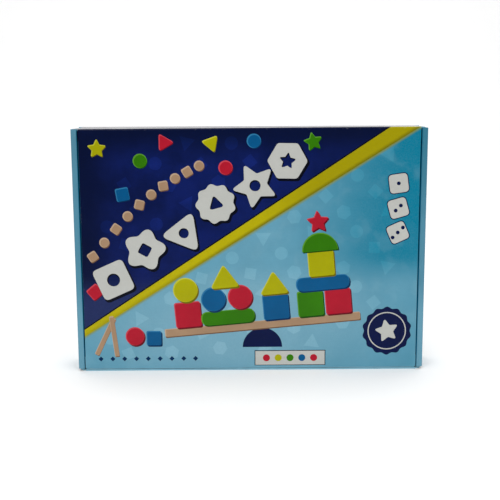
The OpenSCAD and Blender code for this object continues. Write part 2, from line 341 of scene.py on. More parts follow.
def ink(name, colour, mottle=MOTTLE, ground=None, gloss=INK_GLOSS):
    """Laminated print on board: slightly mottled ink, glossy film, washboard flutes, worn creases."""
    shader = Shader(name)
    base = linear(*colour)
    across, up = shader.sheet()
    cloud = shader.patches(scale=24, detail=4, start=0.3, full=0.7, rough=0.62)
    colour_now = shader.mix(cloud, shaded(base, 1 - mottle), shaded(base, 1 + mottle))
    if ground:
        colour_now = ground(shader, colour_now, across, up)
    speck = shader.patches(scale=900, detail=2, start=0.3, full=0.8, most=0.16)
    crack = shader.patches(scale=420, detail=4, start=0.60, full=0.74, most=0.07)
    crack = shader.times(shader.mark("crease"), crack)
    colour_now = shader.layers(colour_now, (speck, shaded(base, 0.8)), (crack, WHITE_CORE))
    rough = shader.patches(scale=60, detail=3, start=0.25, full=0.75, least=0.17, most=0.25)
    waves = shader.bump(shader.noise(scale=9, detail=1), 0.45 * MM)
    flutes = shader.bump(flute_height(shader, up), 0.010 * MM, waves)
    grain = shader.bump(shader.noise(scale=1400, detail=2), 0.002 * MM, flutes)
    return shader.finish(colour_now, grain, rough, gloss)


def kraft(name, colour, flutes=0.5):
    """Brown board paper: fibres, flecks and the shadow lines of the flutes behind it."""
    shader = Shader(name)
    base = linear(*colour)
    dark, light = shaded(base, 0.82), shaded(base, 1.12)
    fibre = shader.noise(scale=260, detail=5, stretch=(1, 1, 3.4), rough=0.7)
    cloud = shader.patches(scale=18, detail=3, start=0.3, full=0.7, most=0.25)
    ridge = flute_height(shader, shader.sheet()[1])
    lines = shader.range(ridge, 0.2, 1.0, to_high=0.3 * flutes)
    fleck = shader.patches(scale=1100, detail=1, start=0.70, full=0.78, most=0.35)
    crack = shader.patches(scale=300, detail=4, start=0.4, full=0.7, most=0.35)
    crack = shader.times(shader.mark("crease"), crack)
    colour_now = shader.layers(
        shader.mix(shader.range(fibre, 0.28, 0.72), dark, light),
        (cloud, dark), (lines, dark), (fleck, BROWN_FLECK), (crack, light),
    )
    skin = shader.bump(fibre, 0.05 * MM, shader.bump(ridge, 0.03 * MM * flutes))
    return shader.finish(colour_now, skin, roughness=0.88, gloss=0.25)


def raw_edge(name):
    """Cut edge of corrugated board: two liners with the fluted sheet waving between them, and painted shade
    in the hollows between them.
    """
    shader = Shader(name)
    along, through = shader.sheet()
    drift = shader.times(shader.noise(scale=45, detail=2), 7.0)
    turns = shader.plus(shader.times(along, 2 * math.pi / FLUTE_PITCH), drift)
    middle, swing = 0.5, 0.3
    wave = shader.plus(shader.times(shader.math("SINE", turns), swing), middle)
    from_wave = shader.math("ABSOLUTE", shader.minus(through, wave))
    from_middle = shader.math("ABSOLUTE", shader.minus(through, middle))
    flute, liner = shader.range(from_wave, 0.07, 0.14, 1, 0), shader.range(from_middle, 0.34, 0.40)
    paper_there = shader.math("MAXIMUM", flute, liner)
    fibre = shader.mix(shader.noise(scale=700, detail=4), linear(140, 132, 120), linear(186, 180, 168))
    # The hollows between the paper are painted dark brown: painted shade in the flute channels
    colour_now = shader.mix(paper_there, linear(66, 58, 50), fibre)
    return shader.finish(colour_now, shader.bump(paper_there, 0.25 * MM), roughness=0.92, gloss=0.2)


def painted_wood(name, colour):
    """Water-based paint on beech: the grain shows faintly, and worn edges are paler."""
    shader = Shader(name)
    base = linear(*colour)
    dark, light = shaded(base, 0.72), tuple(part + (1 - part) * 0.09 for part in base[:3]) + (1,)
    grain = shader.noise(scale=70, detail=5, stretch=(1, 1, 0.12), rough=0.65, twist=0.6)
    pores = shader.noise(scale=900, detail=2, stretch=(1, 1, 0.06))
    rub = shader.patches(scale=160, detail=4, start=0.52, full=0.66, most=0.42)
    colour_now = shader.layers(
        shader.mix(shader.range(grain, 0.32, 0.68), dark, light),
        (shader.range(pores, 0.62, 0.72, to_high=0.35), dark),
        (shader.times(shader.mark("edge"), rub), RUBBED_WOOD),
    )
    rough = shader.patches(scale=120, detail=2, start=0.3, full=0.7, least=0.40, most=0.54)
    coat = shader.bump(shader.noise(scale=260), 0.02 * MM)
    relief = shader.bump(pores, 0.03 * MM, shader.bump(grain, 0.08 * MM, coat))
    return shader.finish(colour_now, relief, rough, gloss=0.4)


def bare_wood(name):
    """Planed beech with its grain along Z and short dark flecks."""
    shader = Shader(name)
    rings = shader.noise(scale=150, detail=4, stretch=(1, 1, 0.05), rough=0.6, twist=1.0)
    fleck = shader.noise(scale=800, detail=2, stretch=(1, 1, 0.09))
    colour_now = shader.layers(
        shader.mix(shader.range(rings, 0.3, 0.7), linear(150, 118, 82), linear(192, 162, 122)),
        (shader.range(fleck, 0.60, 0.70, to_high=0.5), linear(112, 80, 52)),
        (shader.times(shader.mark("edge"), 0.25), linear(210, 184, 146)),
    )
    relief = shader.bump(fleck, 0.05 * MM, shader.bump(rings, 0.06 * MM))
    return shader.finish(colour_now, relief, roughness=0.62, gloss=0.3)


def paper(name, colour):
    """Uncoated leaflet paper with a faint tooth."""
    shader = Shader(name)
    base = linear(*colour)
    colour_now = shader.mix(shader.noise(scale=500, detail=4), shaded(base, 0.88), base)
    tooth = shader.bump(shader.noise(scale=1200), 0.02 * MM)
    return shader.finish(colour_now, tooth, roughness=0.8, gloss=0.25)


FIELD, LID_FIELD, NAVY, LINE, YELLOW = (80, 133, 155), (97, 152, 174), (0, 11, 48), (0, 3, 20), (174, 163, 4)
# Each ink: its colour, and where they differ from the general its mottling, its ground and its gloss
INK_LOOKS = {
    "field": (FIELD, FIELD_MOTTLE),
    "side": (FIELD, FIELD_MOTTLE, side_ground),
    "field_lid": (LID_FIELD, FIELD_MOTTLE, below_stripe),
    "faint_blue": (LID_FIELD, FIELD_MOTTLE, faint_on_blue),
    # A paler blue for the lid's lower edge and for cut edges that the print goes round: painted highlight
    "rubbed": ((124, 172, 190), FIELD_MOTTLE),
    # A deeper blue for the walls of the gaps beside the lid: painted shade
    "deep": ((20, 114, 148), FIELD_MOTTLE),
    "navy": (NAVY, NAVY_MOTTLE, navy_ground),
    "faint_navy": (NAVY, NAVY_MOTTLE, faint_on_navy),
    "top_navy": (NAVY, NAVY_MOTTLE, navy_ground, TOP_GLOSS),
    "line": (LINE,),
    "top_line": (LINE, MOTTLE, None, TOP_GLOSS),
    "yellow": (YELLOW, FIELD_MOTTLE, yellow_ground),
    "top_yellow": (YELLOW, FIELD_MOTTLE, yellow_ground, TOP_GLOSS),
    "night": ((0, 14, 60),),
    "white": ((182, 183, 178), 0.03),
    "back_navy": ((2, 14, 60), 0.14),
    "back_yellow": ((170, 159, 4), 0.05),
    "tint": ((112, 160, 180), 0.06),
}
# Printed blocks: the colours of the face, the dark sides and the pale arris
BLOCK_LOOKS = {
    "tan": ((160, 130, 102), (104, 76, 56), (182, 156, 130)),
    "red": ((166, 22, 42), (96, 8, 24), (190, 62, 74)),
    "green": ((46, 112, 2), (18, 66, 2), (84, 142, 36)),
    "blue": ((2, 80, 128), (0, 40, 78), (40, 112, 156)),
    "sun": ((160, 158, 2), (104, 96, 2), (184, 182, 48)),
}
for block, colours in BLOCK_LOOKS.items():
    INK_LOOKS.update({block + part: (colour,) for part, colour in zip(("", "_dark", "_pale"), colours)})
INKS = {key: ink("ink_" + key, *look) for key, look in INK_LOOKS.items()}
INKS["leaf"] = paper("leaf_paper", (222, 221, 214))
INKS["leaf_blue"] = paper("leaf_blue", (92, 146, 172))
INKS["leaf_navy"] = paper("leaf_navy", (34, 48, 88))
PAINTS = {"green": (58, 122, 16), "blue": (14, 88, 146), "red": (152, 32, 44), "yellow": (186, 176, 18)}
LINER, RAW = kraft("board_liner", (160, 134, 102)), raw_edge("board_raw_edge")


# Flat shapes for the print, as loops round the origin
def rounded(loop, radius):
    """The loop with each corner turned into an arc, which takes up no more of a side than the share most."""
    if not radius:
        return loop
    result, steps, most = [], 5, 0.49
    for i, corner in enumerate(loop):
        here = Vector(corner)
        before, after = Vector(loop[i - 1]) - here, Vector(loop[(i + 1) % len(loop)]) - here
        cut = min(radius / math.tan(before.angle(after) / 2), before.length * most, after.length * most)
        start, end = here + before.normalized() * cut, here + after.normalized() * cut
        for k in range(steps + 1):
            t = k / steps
            result.append(tuple(start * (1 - t) ** 2 + here * 2 * t * (1 - t) + end * t ** 2))
    return result


def polygon(sides, radius, soft=0):
    """A regular polygon with a corner at the top. soft is the radius of its corners."""
    angles = [math.radians(90 + 360 * i / sides) for i in range(sides)]
    return rounded([(radius * math.cos(a), radius * math.sin(a)) for a in angles], soft)


def disc(radius):
    return polygon(40, radius)


def half_disc(radius, steps=24):
    angles = [math.pi * i / steps for i in range(steps + 1)]
    return [(radius * math.cos(a), radius * math.sin(a)) for a in angles]


def petals(count, radius, depth):
    """A disc with a scalloped edge."""
    loop, steps = [], 12 * count
    for i in range(steps):
        a = 2 * math.pi * i / steps
        r = radius * (1 - depth + depth * math.cos(count * a))
        loop.append((r * math.sin(a), r * math.cos(a)))
    return loop


def star(points, radius, inner, soft):
    loop = []
    for i in range(points * 2):
        a = math.pi * i / points
        r = inner if i % 2 else radius
        loop.append((r * math.sin(a), r * math.cos(a)))
    return rounded(loop, soft)


def bar(width, height, soft=0):
    x, z = width / 2, height / 2
    return rounded([(-x, -z), (x, -z), (x, z), (-x, z)], soft)


def moved(loop, x, z, turn=0.0, scale=1.0):
    c, s = math.cos(math.radians(turn)) * scale, math.sin(math.radians(turn)) * scale
    return [(x + px * c - pz * s, z + px * s + pz * c) for px, pz in loop]


# Width of the pale arris on a printed block
ARRIS_W = 0.8
# How far its dark sides reach to the right and down: in general, on small blocks, on the plank, on the sticks
BLOCK_DEPTH, THIN_DEPTH, PLANK_DEPTH, STICK_DEPTH = (1.4, -1.6), (0.6, -0.9), (0.8, -1.6), (0.6, -0.8)


def thick(colour, loop, x, z, turn=0.0, depth=BLOCK_DEPTH):
    """A printed block: darker sides below and to the right of its face, paler arris above and to the left."""
    found, steps = [], 3
    for k in range(steps, 0, -1):
        right, down = (part * k / steps for part in depth)
        found.append((colour + "_dark", moved(loop, x + right, z + down, turn)))
    inset = 1 - ARRIS_W / max(math.hypot(px, pz) for px, pz in loop)
    lit = moved(loop, x + 0.6 * ARRIS_W, z - 0.7 * ARRIS_W, turn, inset)
    return found + [(colour + "_pale", moved(loop, x, z, turn)), (colour, lit)]


def stack(x, z, *layers, turn=0):
    """Shapes that lie on each other round one middle, the lowest first."""
    return [(colour, moved(shape, x, z, turn)) for colour, shape in layers]


def stripe_height(x, edge):
    start, slope = edge
    return start + slope * (x + LID_HALF / MM)


def stripes():
    """Navy above the stripe, a thin dark line, and the yellow wedge."""
    far, line_w = FAR / MM, 1.6
    top = [(x, stripe_height(x, STRIPE_TOP)) for x in (-far, far)]
    low = [(x, stripe_height(x, STRIPE_LOW)) for x in (-far / 2, far)]
    wedge_end = (-far / 2, stripe_height(-far / 2, STRIPE_TOP))
    return [
        ("navy", top + [(far, 2 * far), (-far, 2 * far)]),
        ("line", top + [(x, z + line_w) for x, z in reversed(top)]),
        ("yellow", low + [top[1], wedge_end]),
    ]


def printed(shapes, where=lambda x, z: (x, z), prefix=""):
    """Shapes drawn in millimetres, laid in metres on a sheet where (x, z) lies at where(x, z)."""
    return [(prefix + colour, [where(x * MM, z * MM) for x, z in loop]) for colour, loop in shapes]


def beyond(u):
    """The whole sheet beyond u."""
    return [(u, -FAR), (FAR, -FAR), (FAR, FAR), (u, FAR)]


def both_halves(right):
    """A symmetrical outline from its right half, in order upwards."""
    return right + [(-u, v) for u, v in reversed(right)]


# Board
def split_sides(loop, step):
    """The loop with points added along its long sides."""
    result = []
    for start, end in zip(loop, loop[1:] + loop[:1]):
        count = max(1, math.ceil(math.dist(start, end) / step))
        for k in range(count):
            result.append(tuple(a + (b - a) * k / count for a, b in zip(start, end)))
    return result


def grid_points(outline, spacing):
    """Evenly spaced points inside the box round an outline."""
    low, high = ([pick(point[i] for point in outline) for i in range(2)] for pick in (min, max))
    counts = [max(1, round((high[i] - low[i]) / spacing)) for i in range(2)]
    lines = [[low[i] + (high[i] - low[i]) * k / counts[i] for k in range(1, counts[i])] for i in range(2)]
    return [(u, v) for u in lines[0] for v in lines[1]]


def cut_sheet(outline, regions, lines, spacing):
    """Triangles of a flat sheet, each with the number of the topmost region that holds it."""
    points, edges, faces = [], [], []
    for loop in [outline] + [region[1] for region in regions]:
        if spacing:
            loop = split_sides(loop, spacing)
        area = sum(a[0] * b[1] - b[0] * a[1] for a, b in zip(loop, loop[1:] + loop[:1]))
        faces.append(list(range(len(points), len(points) + len(loop))))
        points.extend(loop if area > 0 else loop[::-1])
    for line in lines:
        edges.append((len(points), len(points) + 1))
        points.extend(line)
    if spacing:
        points.extend(grid_points(outline, spacing))
    found = delaunay_2d_cdt([Vector(point) for point in points], edges, faces, 0, SAME)
    triangles = [(list(triangle), max(origin)) for triangle, origin in zip(found[2], found[5]) if 0 in origin]
    return found[0], triangles


def make_mesh(name, points, faces, kinds, materials, uvs, near_crease):
    mesh = bpy.data.meshes.new(name)
    mesh.from_pydata([tuple(point) for point in points], [], faces)
    for material in materials:
        mesh.materials.append(material)
    mesh.polygons.foreach_set("material_index", kinds)
    mesh.polygons.foreach_set("use_smooth", [True] * len(faces))
    mesh.uv_layers.new(name="sheet").data.foreach_set("uv", [part for uv in uvs for part in uv])
    mesh.attributes.new("crease", "FLOAT", "POINT").data.foreach_set("value", near_crease)
    mesh.set_sharp_from_angle(angle=math.radians(40))
    mesh.validate()
    return show(name, mesh)


def board_piece(
    name, outline, place, base_ink, regions=(), lines=(), spacing=GRID, core=None, sheet=None, inked=()
):
    """A closed piece of board. place(u, v) gives its outer point, inner point and nearness to a crease.

    sheet(u, v) gives the place on the print where that isn't (u, v). Along each v in inked the print goes
    round the cut edge and a little way over the inside. core is the material of the inside and of the cut
    edges where they aren't board.
    """
    rims = [((-FAR, at + INKED_RIM), (FAR, at + INKED_RIM)) for at in inked]
    flat, triangles = cut_sheet(outline, regions, [*lines, *rims], spacing)
    used = sorted({v for triangle, _ in triangles for v in triangle})
    number = {v: i for i, v in enumerate(used)}
    outer, inner, near = zip(*(place(*flat[v]) for v in used))
    names = [base_ink] + [region[0] for region in regions]
    # Where the print goes round a cut edge it is paler: painted highlight
    shown = sorted({names[top] for _, top in triangles} | ({"rubbed"} if inked else set()))

    def hidden_kind(plain, heights):
        """The material number of a bit of the inside or the cut edge, which is plain, or print painted paler
        there as a highlight.
        """
        rubbed = any(min(heights) > at - SAME and max(heights) < at + INKED_RIM + SAME for at in inked)
        return shown.index("rubbed") if rubbed else plain

    a, b, c = (number[v] for v in triangles[0][0])
    flip = (outer[b] - outer[a]).cross(outer[c] - outer[a]).dot(outer[a] - inner[a]) < 0
    faces, kinds, uvs, rim = [], [], [], {}
    for triangle, top in triangles:
        order = triangle[::-1] if flip else triangle
        corners = [number[v] for v in order]
        heights = [flat[v][1] for v in order]
        spots = [sheet(*flat[v]) if sheet else flat[v] for v in order]
        faces += [corners, [v + len(used) for v in corners[::-1]]]
        kinds += [shown.index(names[top]), hidden_kind(len(shown), heights)]
        uvs += spots + spots[::-1]
        for k, after in ((0, 1), (1, 2), (2, 0)):
            if (corners[after], corners[k]) in rim:
                del rim[corners[after], corners[k]]
            else:
                rim[corners[k], corners[after]] = heights[k], heights[after]
    for (start, end), heights in rim.items():
        faces.append([start, start + len(used), end + len(used), end])
        kinds.append(hidden_kind(len(shown) + 1, heights))
        uvs += [(heights[0], 0), (heights[0], 1), (heights[1], 1), (heights[1], 0)]
    materials = [INKS[key] for key in shown] + [core or LINER, core or RAW]
    return make_mesh(name, outer + inner, faces, kinds, materials, uvs, near + near)


def give(piece, body, slot_name, *stands_for):
    """Sets a piece's body and hides the CAD nodes that it stands for. slot_name is not used."""
    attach(piece, body)
    if stands_for:
        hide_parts(*stands_for)


def clamped(value):
    return min(1.0, max(0.0, value))


def flat_place(origin, u_way, v_way, inward, bow=0.0, limits=None):
    """Places a flat panel. The board bows inwards a little between its creases, which lie at its limits."""

    def place(u, v):
        outer = origin + u_way * u + v_way * v
        if bow:
            swell = noise.noise(outer * BOW_CHANGE) * 0.5 + 0.5
            outer = outer + inward * (bow * swell * panel_fade(u, v, limits))
        return outer, outer + inward * BOARD, 0.0

    return place


def panel_fade(u, v, limits):
    """0 along a panel's sides, rising to 1 a quarter of the way in."""
    low_u, high_u, low_v, high_v = limits
    across = clamped(4 * min(u - low_u, high_u - u) / (high_u - low_u))
    return across * clamped(4 * min(v - low_v, high_v - v) / (high_v - low_v))


def bend(pivot, first_way, second_way, along, radius):
    """Places a crease: u runs from one panel round the fold to the other, v runs along the crease."""
    dot = first_way.dot(second_way)
    first_out = (first_way * dot - second_way).normalized()
    second_out = (second_way * dot - first_way).normalized()
    sweep = first_out.angle(second_out)
    arc = radius * sweep
    outward = (first_out + second_out) / (1 + first_out.dot(second_out))
    centre = pivot + outward * (NOSE - radius)
    inner_corner = pivot + outward * (NOSE - BOARD)
    inner_run = (inner_corner - centre).dot(first_way)

    def place(u, v):
        if 0 <= u <= arc:
            t = u / arc
            way = (first_out * math.sin((1 - t) * sweep) + second_out * math.sin(t * sweep)) / math.sin(sweep)
            outer, inner, near = centre + way * radius, inner_corner + way * CORNER_SPREAD, 1.0
        else:
            run, way, out = (-u, first_way, first_out) if u < 0 else (u - arc, second_way, second_out)
            outer = centre + out * radius + way * run
            inner = inner_corner + way * max(run - inner_run, CORNER_SPREAD)
            near = clamped(1 - run / WORN_REACH)
        return outer + along * v, inner + along * v, near

    return place, arc, REACH - (centre - pivot).dot(first_way)


def both_faces(place, shift):
    """The placing with its outer and its inner points shifted."""

    def shifted(u, v):
        outer, inner, near = place(u, v)
        return shift(outer), shift(inner), near

    return shifted


def sagged(place, low_z, high_z):
    """The upper fold pressed down at its left. Its seam with the lid, at low_z, and its back stay put."""

    def lower(point):
        rise = clamped((point.z - low_z) / (high_z - low_z))
        front = 1 - clamped((point.y - FRONT) / (BACK - FRONT))
        left = clamped(SAG_END - point.x / HALF_W)
        return point - UP * (FOLD_SAG * rise * front * left)

    return both_faces(place, lower)


def sprung(place, side):
    """A rolled edge sprung open: its inner side stands further in towards the front, most of all low down."""

    def spread(point):
        inside = clamped((HALF_W - side * point.x) / (HALF_W - side_low.x))
        front = clamped(1 - (point.y - FRONT) / ROLL_SWELL_RUN)
        swell = ROLL_SWELL + ROLL_SWELL_LOW * clamped(1 - point.z / ROLL_SWELL_TOP)
        return point - RIGHT * (side * swell * inside * front)

    return both_faces(place, spread)


def crease(
    name, pivot, first_way, second_way, along, span, base_ink, regions=(), radius=NOSE, sheet=None, sag=None
):
    """A strip of board round a fold line, from one panel to the next."""
    place, arc, reach = bend(pivot, first_way, second_way, along, radius)
    if sag:
        place = sagged(place, *sag)
    low, high = span
    outline = [(-reach, low), (reach + arc, low), (reach + arc, high), (-reach, high)]
    stops = [arc * i / CREASE_STEPS for i in range(CREASE_STEPS + 1)]
    for share in (0.35, 0.7):
        stops += [-reach * share, arc + reach * share]
    lines = [((u, low), (u, high)) for u in stops]
    return board_piece(name, outline, place, base_ink, regions, lines, spacing=None, sheet=sheet)


def folded(corners, radius, along, hand):
    """Places board that follows a line with rounded quarter turns.

    u is the length along the line from its middle. hand is 1 or -1, for the side of the line that is inside.
    """
    arc = radius * math.pi / 2
    last = len(corners) - 2
    pieces, length = [], 0.0
    for i, (here, there) in enumerate(zip(corners, corners[1:])):
        way = (there - here).normalized()
        inward = way.cross(along) * hand
        start = here + way * (radius if i > 0 else 0)
        end = there - way * (radius if i < last else 0)
        pieces.append((length, (end - start).length, start, way, inward, False))
        length += (end - start).length
        if i < last:
            pieces.append((length, arc, end, way, inward, True))
            length += arc
    middle = length / 2

    def place(u, v):
        spot = min(max(u + middle, 0.0), length)
        begin, run, start, way, inward, turns = [piece for piece in pieces if piece[0] <= spot + 1e-9][-1]
        t = min(spot - begin, run)
        if turns:
            a = t / radius
            facing = inward * math.cos(a) - way * math.sin(a)
            outer = start + inward * radius - facing * radius
            depth = min(BOARD, radius - FOLD_CORE)
        else:
            outer, facing, depth = start + way * t, inward, BOARD
        return outer + along * v, outer + facing * depth + along * v, float(turns)

    arcs = [begin - middle for begin, _, _, _, _, turns in pieces if turns]
    stops = [begin + arc * k / FOLD_STEPS for begin in arcs for k in range(FOLD_STEPS + 1)]
    return place, middle, stops


def face_outline(node, x):
    """The outline of a CAD node's flat face that lies at x, as points in order."""
    work = bmesh.new()
    work.from_mesh(nodes[node].data)
    bmesh.ops.remove_doubles(work, verts=work.verts, dist=SAME)
    chosen = {f for f in work.faces if all(abs(v.co.x - x) < 10 * SAME for v in f.verts)}
    rim = [e for e in work.edges if sum(f in chosen for f in e.link_faces) == 1]
    links = {}
    for e in rim:
        for v in e.verts:
            links.setdefault(v, []).append(e)
    start = here = rim[0].verts[0]
    loop, last = [], None
    while not loop or here != start:
        loop.append(here.co.copy())
        last = next(e for e in links[here] if e != last)
        here = last.other_vert(here)
    work.free()
    return loop


# The printed lid
def juggled_blocks():
    """Six off-white wooden blocks with cut-outs, tossed up and down beside the stripe."""
    blocks = [
        (-137, 31, bar(33, 33, 5), disc(6.5)),
        (-105, 40, petals(5, 21, 0.13), bar(11, 11, 2)),
        (-66, 31, polygon(3, 24, 5), disc(5)),
        (-34, 39, petals(9, 20, 0.06), polygon(3, 9, 2)),
        (5, 31, star(5, 24, 12, 2.5), disc(5.5)),
        (37, 34, polygon(6, 20, 4), star(5, 9, 4.5, 1)),
    ]
    found = []
    for i, (x, lift, shape, hole) in enumerate(blocks):
        z = stripe_height(x, STRIPE_TOP) + lift
        turn = 24 + 37 * i
        found += [
            ("line", moved(shape, x + 1.5, z - 1.8, turn, 1.05)),
            ("white", moved(shape, x, z, turn)),
            ("line", moved(hole, x, z, turn)),
            ("navy", moved(hole, x + 0.5, z - 0.7, turn, 0.88)),
        ]
    return found


def beads():
    """A string of small wooden beads above the blocks."""
    found, count = [], 10
    for i in range(count):
        t = i / (count - 1)
        x, z = -157 + 107 * t, 118 + 90 * t + 12 * math.sin(math.pi * t)
        found += thick("tan", disc(5) if i % 2 else bar(9.4, 9.4, 2), x, z, 33 + 11 * i, THIN_DEPTH)
    return found


def confetti():
    """Small coloured blocks scattered over the navy."""
    wedge, cube, spark, ball = polygon(3, 10, 1.8), bar(13, 13, 2), star(5, 10, 5, 1), disc(7)
    spots = [
        ("sun", spark, -150, 225), ("green", ball, -108, 213), ("blue", cube, -126, 180),
        ("red", wedge, -84, 231), ("sun", wedge, -38, 230), ("red", ball, -24, 206),
        ("green", spark, 62, 231), ("blue", ball, 4, 232), ("red", cube, -156, 82),
    ]
    found = []
    for i, (colour, shape, x, z) in enumerate(spots):
        found += thick(colour, shape, x, z, 50 * i, THIN_DEPTH)
    return found


def seesaw():
    """A plank on a round foot with blocks piled on both ends, and beside it more blocks and two sticks."""
    tilt, plank_l, plank_t = 5, 198, 7.6
    foot_x, foot_z, foot_r = 12, 24, 20
    plank_z = foot_z + foot_r + plank_t / 2
    c, s = math.cos(math.radians(tilt)), math.sin(math.radians(tilt))
    cube, ball, log, arch = bar(26, 26, 2.4), disc(12.4), bar(54, 14, 6.9), half_disc(18)
    roof = rounded([(-15, -9), (15, -9), (0, 15)], 2.4)
    # Each block's colour, shape, place along the plank and height over it
    piled = [
        ("red", cube, -74, 13), ("sun", ball, -74, 38.4), ("green", log, -34, 7), ("blue", ball, -47, 26.4),
        ("red", ball, -20, 26.4), ("sun", roof, -34, 46), ("blue", cube, 15, 13), ("sun", roof, 15, 35),
        ("green", cube, 50, 13), ("red", cube, 78, 13), ("blue", log, 64, 33), ("sun", cube, 64, 53),
        ("green", arch, 64, 66), ("red", star(5, 12, 6, 1), 64, 95),
    ]
    found = [("night", moved(half_disc(foot_r), foot_x, foot_z))]
    found += thick("tan", bar(plank_l, plank_t, 1), foot_x, plank_z, tilt, PLANK_DEPTH)
    for colour, shape, along, height in piled:
        over = plank_t / 2 + height
        found += thick(colour, shape, foot_x + along * c - over * s, plank_z + along * s + over * c, tilt)
    found += thick("red", disc(9.5), -117, 36) + thick("blue", bar(15, 15, 2), -98, 34)
    for turn, x in ((64, -147), (97, -138)):
        found += thick("tan", bar(42, 4.4, 0.8), x, 36, turn, STICK_DEPTH)
    return found


def faint_shapes():
    """Faint shapes on the navy and on the blue ground, in rows along the stripe."""
    shapes = (bar(11, 11), disc(6.5), polygon(3, 9), polygon(6, 7.5))
    row_lifts = (118, 88, 58, -26, -54, -82, -110, -138, -166)
    edge_x, low_z, high_z = LID_HALF / MM - 14, 10, TOP / MM - 14
    found = []
    for row, lift in enumerate(row_lifts):
        for i in range(-5, 6):
            x = 31 * i + 13 * (row % 2)
            z = stripe_height(x, STRIPE_TOP) + lift
            if abs(x) <= edge_x and low_z < z < high_z:
                colour = "faint_navy" if lift > 0 else "faint_blue"
                found.append((colour, moved(shapes[(i + 2 * row) % 4], x, z, 37 * i + 20 * row)))
    return found


def tiles():
    """Three white tiles with pips, one under the other."""
    found = []
    for count in (1, 2, 3):
        x, z, turn = 147, 214 - 24.5 * count, 8 * count
        found += stack(x, z, ("night", bar(20.4, 20.4, 4.8)), ("white", bar(18.6, 18.6, 4)), turn=turn)
        for i in range(count):
            step = 5 * (i - (count - 1) / 2)
            found.append(("night", moved(disc(1.9), x + step, z + step)))
    return found


def badge():
    """A scalloped navy badge with a star."""
    tilted_star = moved(star(5, 13, 6.5, 1.5), 0, 0, 12)
    return stack(
        138, 40, ("night", petals(14, 25, 0.035)), ("white", disc(19.5)), ("night", disc(18.4)),
        ("white", tilted_star),
    )


def foot_of_lid():
    """A framed strip of dots and a row of diamonds."""
    x, z, step = 40, 12.5, 12
    found = stack(x, z, ("line", bar(72, 16)), ("white", bar(70.4, 14.4)))
    for i, colour in enumerate(("red", "sun", "green", "blue", "red")):
        found.append((colour, moved(disc(3.6), x + step * (i - 2), z)))
    return found + [("blue_dark", moved(polygon(4, 2.6), step * i - 152, z)) for i in range(9)]


def lid_print():
    parts = (stripes, faint_shapes, tiles, badge, foot_of_lid, seesaw, confetti, beads, juggled_blocks)
    return [shape for part in parts for shape in part()]


# The carton
def make_lid():
    low_z, high_z = tuck_fold.z + REACH, lid_fold.z - REACH
    notch = dust_fold.x - REACH
    outline = both_halves([
        (TUCK_HALF, low_z), (TUCK_HALF, lid_low.z), (LID_HALF - CORNER_TRIM, lid_low.z),
        (LID_HALF, lid_low.z + CORNER_TRIM), (LID_HALF, dust_low.z), (notch, dust_low.z),
        (notch, dust_high.z), (LID_HALF, dust_high.z), (LID_HALF, high_z),
    ])
    limits = (-notch, notch, low_z, high_z)
    place = flat_place(Vector((0, FRONT, 0)), RIGHT, UP, BACKWARD, LID_BOW, limits)
    lid = board_piece("lid_board", outline, place, "field_lid", printed(lid_print()))
    give(lid, "lid", "print_lid", "lid_panel")

    fold_z = TOP - FOLD_R
    fold = crease(
        "lid_crease", lid_fold, -UP, BACKWARD, RIGHT, (-LID_HALF, LID_HALF), "field_lid",
        printed(stripes(), lambda x, z: (z - fold_z, x)), FOLD_R, lambda u, v: (v, u + fold_z),
        (high_z, fold_z),
    )
    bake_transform(fold)


def make_dust_crease(side, name):
    """The crease of a dust flap. Past its nose it lies in the shade of the side wall, and there its print is
    a deeper blue as painted shade.
    """
    pivot = Vector((side * dust_fold.x, dust_fold.y, 0))
    regions = printed(stripes(), lambda x, z: ((x - side * dust_fold.x) * side, z))
    # Painted shade past the nose: the deeper blue
    regions.append(("deep", beyond(0.7 * NOSE)))
    fold = crease(
        "dust_crease_" + name, pivot, RIGHT * -side, BACKWARD, UP, (dust_low.z, dust_high.z), "field_lid",
        regions, sheet=lambda u, v: (side * (dust_fold.x + u), v),
    )
    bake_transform(fold)


def make_tuck_crease():
    # Past its fold line the crease is painted paler: painted highlight on the lid's lower edge
    fold = crease(
        "tuck_crease", tuck_fold, UP, TUCK_WAY, RIGHT, (-TUCK_HALF, TUCK_HALF), "field_lid",
        [("rubbed", beyond(0))], sheet=lambda u, v: (v, -u),
    )
    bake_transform(fold)


def make_tuck_flap():
    """The tuck flap, whose free corners are round and whose corners at the crease are not."""
    out = Vector((0, math.sin(TUCK_LEAN), -math.cos(TUCK_LEAN)))
    root = [(-TUCK_HALF, REACH), (TUCK_HALF, REACH)]
    loop = rounded(root + [(TUCK_TIP, TUCK_DEPTH), (-TUCK_TIP, TUCK_DEPTH)], TUCK_CORNER)
    loop = [(u, v) for u, v in loop if v > REACH + TUCK_CORNER] + root
    place = flat_place(tuck_fold + out * NOSE, RIGHT, TUCK_WAY, -out)
    give(board_piece("tuck_board", loop, place, "field"), "tuck_flap", "print_blue", "tuck_flap")


def make_dust_flap(side, name):
    face_x = side * dust_high.x
    clear = dust_fold.y + REACH
    outline = [(max(point.y, clear), point.z) for point in face_outline("dust_flap_" + name, face_x)]
    place = flat_place(Vector((face_x, 0, 0)), BACKWARD, UP, RIGHT * -side)
    piece = board_piece("dust_board_" + name, outline, place, "field")
    give(piece, "dust_flap_" + name, "print_blue", "dust_flap_" + name)


